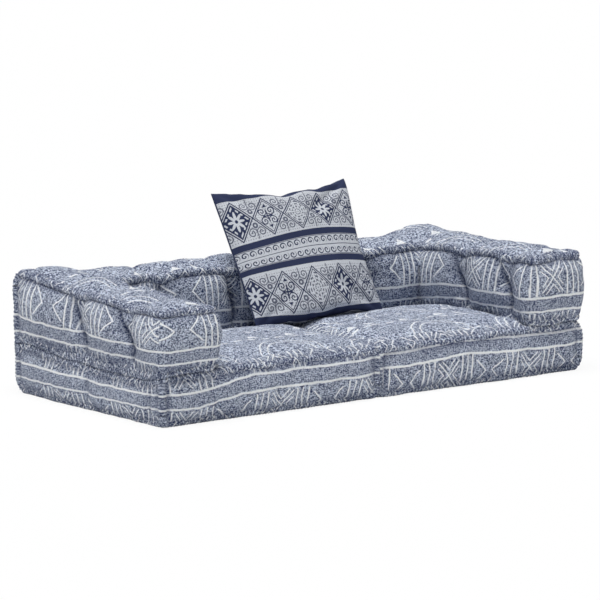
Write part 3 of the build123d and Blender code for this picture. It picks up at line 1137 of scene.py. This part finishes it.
def diamonds(u, v, centre, half):
    """Row of diamonds in a field of the print: rosettes, scrolls and pale stars in turn."""
    wide = 0.108
    across = u.wrap(wide)
    rise = v - centre
    cell = abs(across) * (2 / wide) + abs(rise) * (1 / half)
    edges = most(cell.at(1.0, 0.045, 0.015), cell.at(0.86, 0.03, 0.01))
    inside = cell.below(0.85, 0.01)
    turn = u.wrap(wide * 3)
    navy_ground = abs(turn).below(wide / 2)
    starred = turn.below(-wide / 2)
    reach = (across * across * 1.3 + rise * rise).math("SQRT")
    angle = rise.math("ARCTAN2", across)
    petals = (reach - (angle * 8).math("COSINE") * 0.009 - 0.022).below(0.0, 0.0012) * reach.above(0.0055)
    leaves = cell.at(0.72, 0.06, 0.02) * (angle * 12).math("SINE").above(-0.1, 0.3)
    flower = (petals + leaves).least(1.0).rest()
    dotted = reach.fold(0.0052).below(0.0022) * (angle * 10).math("SINE").above(-0.1, 0.3)
    wound = spiral(abs(across) - 0.0155, abs(rise) - 0.0165, 700, 0.0155)
    cross = most(abs(across).below(0.0024), abs(rise).below(0.0024)) * reach.below(0.02)
    leaf = (abs(rise) - 0.041 + abs(across) * 1.4).below(0.0, 0.002) * abs(rise).above(0.03)
    filled = navy_ground * flower + starred * dotted * 0.9
    filled = filled + navy_ground.rest() * starred.rest() * most(wound, cross, leaf)
    gap = (u + wide / 2).wrap(wide)
    corner = abs(rise) - half * 0.7
    outside = cell.above(1.1, 0.01) * 0.85
    curls = spiral(abs(gap) - 0.0155, corner, 700, 0.0155)
    buds = (gap * gap + (corner + 0.021) * (corner + 0.021)).math("SQRT").at(0.006, 0.003)
    stem = abs(gap).below(0.0016) * corner.above(-0.01)
    specks = u.fold(0.0042).below(0.0017) * v.fold(0.0042).below(0.0017) * 0.55
    between = outside * most(curls, buds, stem)
    return most(edges, inside * filled, between, specks * (navy_ground * inside).rest())


def pillow_print():
    """Printed bands: fields of diamonds, a border of scrolls and dark bands between them."""
    colours = props().colours
    cloth = Cloth("Pillow print")
    cloth.wobble(0.0015, 120)
    u, v = cloth.u + 0.012, cloth.v
    lower = v.above(0.036) * v.below(0.166) * diamonds(u - 0.105, v, 0.1, 0.062)
    upper = v.above(0.29) * v.below(0.42) * diamonds(u + 0.2, v, 0.354, 0.062)
    rise = abs(v - 0.229)
    scrolls = spiral(u.wrap(0.0265), rise - 0.0175, 620, 0.0125)
    rules = most(rise.below(0.0012), rise.at(0.0325, 0.001), rise.at(0.0355, 0.0008))
    border = most(scrolls, rules) * rise.below(0.037)
    dark = most(v.at(0.183, 0.0105), v.at(0.275, 0.0105), v.at(0.019, 0.014), v.at(0.442, 0.0195))
    dark = most(dark, cloth.u.below(-0.2515))
    ink = most(lower, upper, border, dark)
    twill = (u * 0.7 + v).fold(0.0028).below(0.001, 0.0008) * 0.3
    fill(cloth.shader, Sheen_Weight=0.0)
    pale = cloth.mix(most(twill, (cloth.noise(420, 1) - 0.35) * 0.5), colours.pale, colours.navy)
    cloth.colour(cloth.mix(ink * 0.96, pale, colours.navy))
    cloth.bump(cloth.noise(600, 1) + cloth.noise(60, 1), 0.25, 0.0012)
    return cloth.material


def mattresses(side):
    """Name, corners, lower and upper height of a module's seat, and of its arm and back."""
    return (
        (side + "_seat", seat_corners(side), floor_z, joint_z),
        (side + "_backrest", backrest_corners(side), joint_z, top_z),
    )


def dress(mattress, side, *top_pattern):
    """Stuffed cover with its side and top patterns."""
    name, corners, low, high = mattress
    obj = cover(name, side, corners, low, high)
    obj.data.materials.append(side_cloth(name + " sides", PATTERNS[name]))
    obj.data.materials.append(top_cloth(name + " top", *top_pattern))
    declare(obj, side, [name + "_cover"])


class SOFA_OT_seats(Operator):
    """Makes the stuffed seat covers"""

    bl_idname = "sofa.seats"
    bl_label = "Seats"

    def execute(self, context):
        for side in SIDES:
            seat, _ = mattresses(side)
            dress(seat, side, 0.05 * SIGN[side], 0.1, 1.0)
        return {"FINISHED"}


class SOFA_OT_backrests(Operator):
    """Makes the stuffed and tufted covers of arms and backs"""

    bl_idname = "sofa.backrests"
    bl_label = "Arms and backs"

    def execute(self, context):
        for side in SIDES:
            _, back = mattresses(side)
            dress(back, side, 0.1, 0.0, 0.0)
        return {"FINISHED"}


class SOFA_OT_rolls(Operator):
    """Makes the padded rolls sewn along every edge"""

    bl_idname = "sofa.rolls"
    bl_label = "Rolls"

    def execute(self, context):
        material = roll_cloth()
        for side in SIDES:
            seat, back = mattresses(side)
            for name, corners, low, high in (seat, back):
                for edge, z, facing in (("bottom", low, 1), ("top", high, -1)):
                    node = name + "_" + edge + "_roll"
                    obj = edge_roll(node + "_padding", side, corners, z, facing)
                    obj.data.materials.append(material)
                    declare(obj, side, [node])
            sign = SIGN[side]
            outer_back = (sign * outer_x, back_y, -sign, -1)
            uprights = [
                (sign * inner_x, front_y, sign, 1),
                (sign * outer_x, front_y, -sign, 1),
                outer_back,
                (sign * inner_x, back_y, sign, -1),
            ]
            # The last number of each is the strength of the painted shade where whip stitches bite
            posts = (
                (seat, "_posts", uprights, " corners", 0.7),
                (back, "_post", [outer_back], " corner", 0.8),
            )
            for (name, corners, low, high), ending, upright, cloth, rib_shade in posts:
                cover_name = name + "_padding"
                post = corner_rolls(name + ending, side, upright, low, high, Panels(corners), cover_name)
                plain = PATTERNS[name]._replace(rows=(), thin=())
                post.data.materials.append(side_cloth(name + cloth, plain, rib_shade))
                declare(post, side, [name + "_corner_rolls"])
        return {"FINISHED"}


def declare(obj, side, nodes):
    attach(obj, side + "_module")
    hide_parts(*nodes)


def pillow_shell():
    """Flat case of two sheets sewn round their edges, in the pillow's own plane."""
    sizes = props().pillow
    bm = bmesh.new()
    bmesh.ops.create_grid(bm, x_segments=sizes.cells, y_segments=sizes.cells, size=0.5)
    bmesh.ops.scale(bm, verts=bm.verts, vec=(sizes.width, sizes.height, 1))
    under = bmesh.ops.duplicate(bm, geom=bm.faces[:] + bm.edges[:] + bm.verts[:])
    lower = [e for e in under["geom"] if isinstance(e, bmesh.types.BMVert)]
    faces = [e for e in under["geom"] if isinstance(e, bmesh.types.BMFace)]
    bmesh.ops.reverse_faces(bm, faces=faces)
    for v in bm.verts:
        edge = min(sizes.width / 2 - abs(v.co.x), sizes.height / 2 - abs(v.co.y))
        v.co.z = min(0.004, edge * 0.2)
    for v in lower:
        v.co.z = -v.co.z
    uv = bm.loops.layers.uv.new("Cloth")
    for face in bm.faces:
        for loop in face.loops:
            loop[uv].uv = (loop.vert.co.x, loop.vert.co.y + sizes.height / 2)
    for face in faces:
        face.material_index = 1
    bmesh.ops.remove_doubles(bm, verts=bm.verts, dist=1e-5)
    return new_object("pillow_case", bm)


class SOFA_OT_pillow(Operator):
    """Makes the throw pillow"""

    bl_idname = "sofa.pillow"
    bl_label = "Throw pillow"

    def execute(self, context):
        sizes = props().pillow
        obj = pillow_shell()
        held = np.zeros(len(obj.data.vertices))
        inflate(obj, held, sizes.pressure, 0.0, PILLOW_CAP, sizes.stiffness, sizes.frames)
        shape_pillow(obj)
        return {"FINISHED"}


def shape_pillow(obj):
    """Fits the stuffed case to the space it leans in and divides it into its pieces."""
    sizes = props().pillow
    low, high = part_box("pillow_front_panel")
    points = places(obj)
    points[:, 0] *= sizes.spread / np.ptp(points[:, 0])
    points[:, 1] *= sizes.slope / np.ptp(points[:, 1])
    share = points[:, 1] / sizes.slope + 0.5
    for place_x, depth, width in NOTCHES:
        notch = bell(points[:, 0], place_x, width) * smooth(share, 0.55, 1.0)
        points[:, 1] -= depth * notch
    middle = np.clip(1 - (2 * points[:, 0] / sizes.spread) ** 2, 0, 1)
    fallen = PILLOW_FALL * middle + PILLOW_FALL * bell(points[:, 0], -0.05, 0.1)
    points[:, 1] -= fallen * (1 - smooth(share, 0.0, 0.4))
    points[:, 1] -= 0.018 * (1 - smooth(points[:, 0], -0.25, 0.05)) * bell(share, 0.58, 0.18)
    ear = smooth(points[:, 0], 0.1, 0.25) * smooth(share, 0.45, 1.0)
    points[:, 0] += 0.03 * ear
    points[:, 1] += 0.004 * ear
    thick = points[:, 2].max()
    points[:, 2] *= np.where(points[:, 2] > 0, sizes.front / thick, sizes.back / thick)
    points[:, 0] += (low.x + high.x - points[:, 0].max() - points[:, 0].min()) / 2 + PILLOW_RIGHT
    points[:, 1] -= points[:, 1].min() + PILLOW_DOWN
    x, along, off = points.T
    y = high.y + PILLOW_BEHIND + along * sin(sizes.lean) - off * cos(sizes.lean)
    z = high.z + along * cos(sizes.lean) + off * sin(sizes.lean)
    place(obj, np.column_stack([x, y, z]))
    finer(obj)
    shade_smooth(obj)
    colours = props().colours
    front = pick_faces(obj, "pillow_front", 0)
    back = pick_faces(obj, "pillow_back", 1)
    insert = link(bpy.data.objects.new("pillow_filling", obj.data.copy()))
    place(insert, places(insert) - vertex_normals(insert) * FILLING_GAP)
    insert.data.materials.clear()  # puts all its faces into the first slot
    bpy.data.objects.remove(obj)
    backing = plain_cloth("Pillow back", colours.pale, colours.light, 0.002)
    fibre = plain_cloth("Filling", (0.8, 0.8, 0.78), (0.65, 0.65, 0.63), 0.004)
    pieces = (
        (front, pillow_print(), "pillow_front_panel", "printed_cotton"),
        (back, backing, "pillow_back_panel", "plain_cotton"),
        (insert, fibre, "pillow_insert", "fibre_fill"),
    )
    for piece, material, node, slot in pieces:
        piece.data.materials.append(material)
        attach(piece, "throw_pillow")
        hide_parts(node)


def pick_faces(obj, name, index):
    """Copy of the faces that have one slot."""
    bm = bmesh.new()
    bm.from_mesh(obj.data)
    others = [f for f in bm.faces if f.material_index != index]
    bmesh.ops.delete(bm, geom=others, context="FACES")
    for face in bm.faces:
        face.material_index = 0
    return new_object(name, bm)


class SOFA_OT_inside(Operator):
    """Gives the pieces inside the covers their materials"""

    bl_idname = "sofa.inside"
    bl_label = "Cores and ties"

    def execute(self, context):
        felt = plain_cloth("Felted core", (0.78, 0.75, 0.68), (0.6, 0.57, 0.5), 0.003)
        twine = plain_cloth("Twine", (0.12, 0.15, 0.24), (0.04, 0.05, 0.1), 0.0015)
        pieces = (("_seat_core", felt), ("_backrest_core", felt), ("_backrest_tuft_ties", twine))
        for side in SIDES:
            for node, material in pieces:
                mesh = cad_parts[side + node].data
                mesh.materials.clear()
                mesh.materials.append(material)
        return {"FINISHED"}


class SOFA_OT_stage(Operator):
    """Makes the floor, the lights and the camera"""

    bl_idname = "sofa.stage"
    bl_label = "Stage"

    def execute(self, context):
        sizes = props().stage
        camera = bpy.data.cameras.new("Camera")
        camera.lens = sizes.lens
        camera.sensor_width = 36
        camera.clip_end = 100
        eye = link(bpy.data.objects.new("Camera", camera))
        az, el = sizes.azimuth, sizes.elevation
        back = Vector((sin(az) * cos(el), -cos(az) * cos(el), sin(el)))
        eye.location = Vector(sizes.look_at) + back * sizes.distance
        eye.rotation_euler = (-back).to_track_quat("-Z", "Y").to_euler()
        bpy.context.scene.camera = eye
        floor_and_backdrop()
        lights()
        bpy.context.scene.view_settings.view_transform = "Standard"
        return {"FINISHED"}


def by_ray(tree, operation, second, first_shader, second_shader, output):
    """Shows camera rays the second shader. The operation says how far, or which other rays too."""
    nodes, links = tree.nodes, tree.links
    path = nodes.new("ShaderNodeLightPath")
    share = nodes.new("ShaderNodeMath")
    share.operation = operation
    links.new(path.outputs["Is Camera Ray"], share.inputs[0])
    if isinstance(second, str):
        links.new(path.outputs[second], share.inputs[1])
    else:
        share.inputs[1].default_value = second
    mix = nodes.new("ShaderNodeMixShader")
    links.new(share.outputs[0], mix.inputs[0])
    links.new(first_shader.outputs[0], mix.inputs[1])
    links.new(second_shader.outputs[0], mix.inputs[2])
    links.new(mix.outputs[0], nodes[output].inputs["Surface"])


def floor_and_backdrop():
    """Pale floor that catches the shadow and is nearly white to the camera."""
    bm = bmesh.new()
    bmesh.ops.create_grid(bm, x_segments=1, y_segments=1, size=30)
    floor = new_object("floor", bm)
    material = bpy.data.materials.new("Floor")
    material.use_nodes = True
    nodes = material.node_tree.nodes
    shader = nodes["Principled BSDF"]
    fill(shader, Base_Color=(0.95, 0.95, 0.95, 1), Roughness=1)
    glow = nodes.new("ShaderNodeEmission")
    by_ray(material.node_tree, "MULTIPLY", 0.9, shader, glow, "Material Output")
    floor.data.materials.append(material)


def lights():
    """Soft light from above, in a dim world that looks white."""
    world = bpy.data.worlds.new("Studio")
    bpy.context.scene.world = world
    world.use_nodes = True
    nodes = world.node_tree.nodes
    ambient = nodes["Background"]
    fill(ambient, Color=(0.96, 0.98, 1, 1), Strength=0.12)
    white = nodes.new("ShaderNodeBackground")
    by_ray(world.node_tree, "MAXIMUM", "Is Glossy Ray", ambient, white, "World Output")
    sun = bpy.data.lights.new("Key", "SUN")
    sun.energy = 2.95
    sun.angle = radians(40)
    lamp = link(bpy.data.objects.new("Key", sun))
    lamp.rotation_euler = Vector((-0.16, -0.08, 0.98)).to_track_quat("Z", "Y").to_euler()


class SOFA_PT_panel(Panel):
    bl_label = "Floor sofa"
    bl_idname = "SOFA_PT_panel"
    bl_space_type = "VIEW_3D"
    bl_region_type = "UI"
    bl_category = "Floor sofa"

    def draw(self, context):
        for operator in OPERATORS:
            self.layout.operator(operator.bl_idname)
        for name in GROUPS:
            group = getattr(context.scene, name)
            box = self.layout.box()
            box.label(text=name.capitalize())
            for key in group.__annotations__:
                box.prop(group, key)


GROUPS = {
    "padding": PaddingSizes,
    "rolls": RollSizes,
    "pillow": PillowSizes,
    "colours": ClothColours,
    "stage": StageSizes,
}
OPERATORS = (
    SOFA_OT_stage, SOFA_OT_seats, SOFA_OT_backrests, SOFA_OT_rolls, SOFA_OT_pillow, SOFA_OT_inside
)


def register():
    for cls in (*GROUPS.values(), *OPERATORS, SOFA_PT_panel):
        bpy.utils.register_class(cls)
    for name, cls in GROUPS.items():
        setattr(bpy.types.Scene, name, PointerProperty(type=cls))


def unregister():
    for name in GROUPS:
        delattr(bpy.types.Scene, name)
    for cls in reversed((*GROUPS.values(), *OPERATORS, SOFA_PT_panel)):
        bpy.utils.unregister_class(cls)


def main():
    register()
    for step in ("stage", "seats", "backrests", "rolls", "pillow", "inside"):
        getattr(bpy.ops.sofa, step)()


if __name__ == "__main__":
    main()
